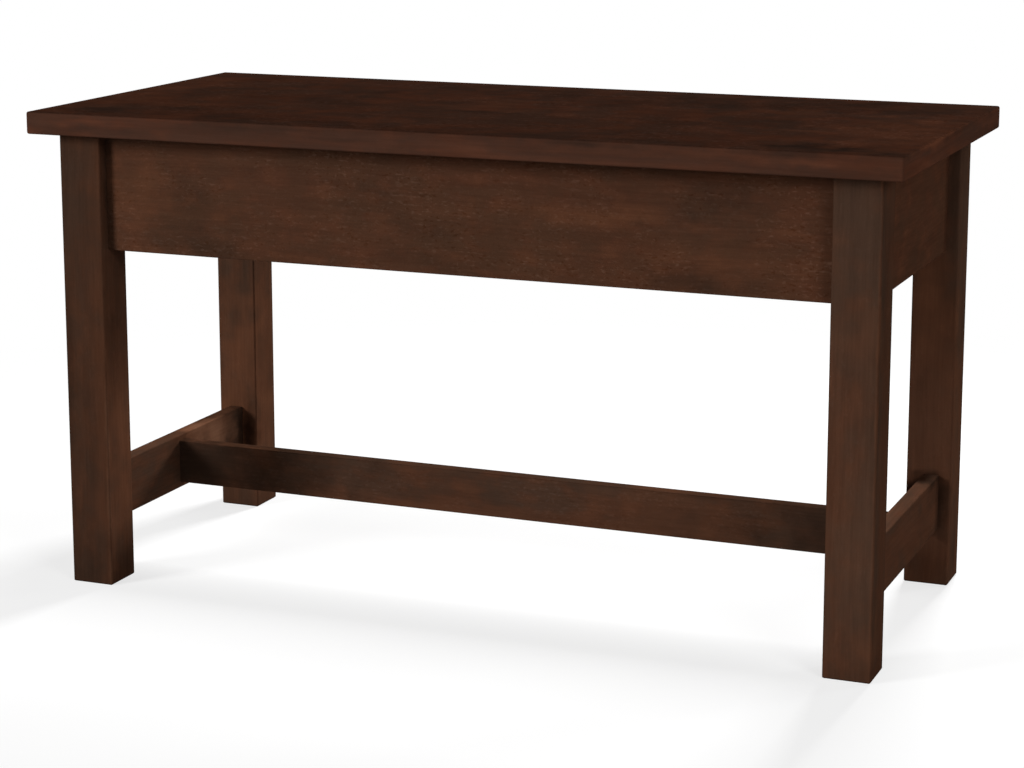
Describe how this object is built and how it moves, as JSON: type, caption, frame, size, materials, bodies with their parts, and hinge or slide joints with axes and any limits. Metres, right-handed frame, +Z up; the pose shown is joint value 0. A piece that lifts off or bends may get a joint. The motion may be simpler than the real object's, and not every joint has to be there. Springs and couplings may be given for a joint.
{
  "type": "monks bench",
  "caption": "Low wooden bench with a plain rectangular top on square legs, deep recessed aprons and an H of stretchers near the floor.",
  "frame": {"origin": "on the floor, under the middle of the bench", "axes": "+X along the bench, to the right of someone who faces its front; +Y from the front to the back; +Z up"},
  "size_m": [0.872, 0.406, 0.48],
  "materials": {
    "top_wood": "dark brown stain, matt lacquer",
    "leg_wood": "dark brown stain, matt lacquer",
    "apron_wood": "dark brown stain, matt lacquer, flecked grain",
    "stretcher_wood": "dark brown stain, matt lacquer",
    "inner_wood": "raw timber, unfinished",
    "screw_steel": "zinc plated"
  },
  "bodies": {
    "root": {"seat_top": "top_wood", "leg_front_left": "leg_wood", "leg_front_right": "leg_wood", "leg_back_left": "leg_wood", "leg_back_right": "leg_wood", "apron_front": "apron_wood", "apron_back": "apron_wood", "apron_left": "apron_wood", "apron_right": "apron_wood", "stretcher_left": "stretcher_wood", "stretcher_right": "stretcher_wood", "stretcher_long": "stretcher_wood", "corner_block_front_left": "inner_wood", "corner_block_front_right": "inner_wood", "corner_block_back_left": "inner_wood", "corner_block_back_right": "inner_wood", "top_button_front_1": "inner_wood", "top_button_front_2": "inner_wood", "top_button_front_3": "inner_wood", "top_button_back_1": "inner_wood", "top_button_back_2": "inner_wood", "top_button_back_3": "inner_wood", "top_button_left": "inner_wood", "top_button_right": "inner_wood", "block_screw_front_left_1": "screw_steel", "block_screw_front_left_2": "screw_steel", "block_screw_front_right_1": "screw_steel", "block_screw_front_right_2": "screw_steel", "block_screw_back_left_1": "screw_steel", "block_screw_back_left_2": "screw_steel", "block_screw_back_right_1": "screw_steel", "block_screw_back_right_2": "screw_steel", "button_screw_front_1": "screw_steel", "button_screw_front_2": "screw_steel", "button_screw_front_3": "screw_steel", "button_screw_back_1": "screw_steel", "button_screw_back_2": "screw_steel", "button_screw_back_3": "screw_steel", "button_screw_left": "screw_steel", "button_screw_right": "screw_steel"}
  },
  "joints": []
}
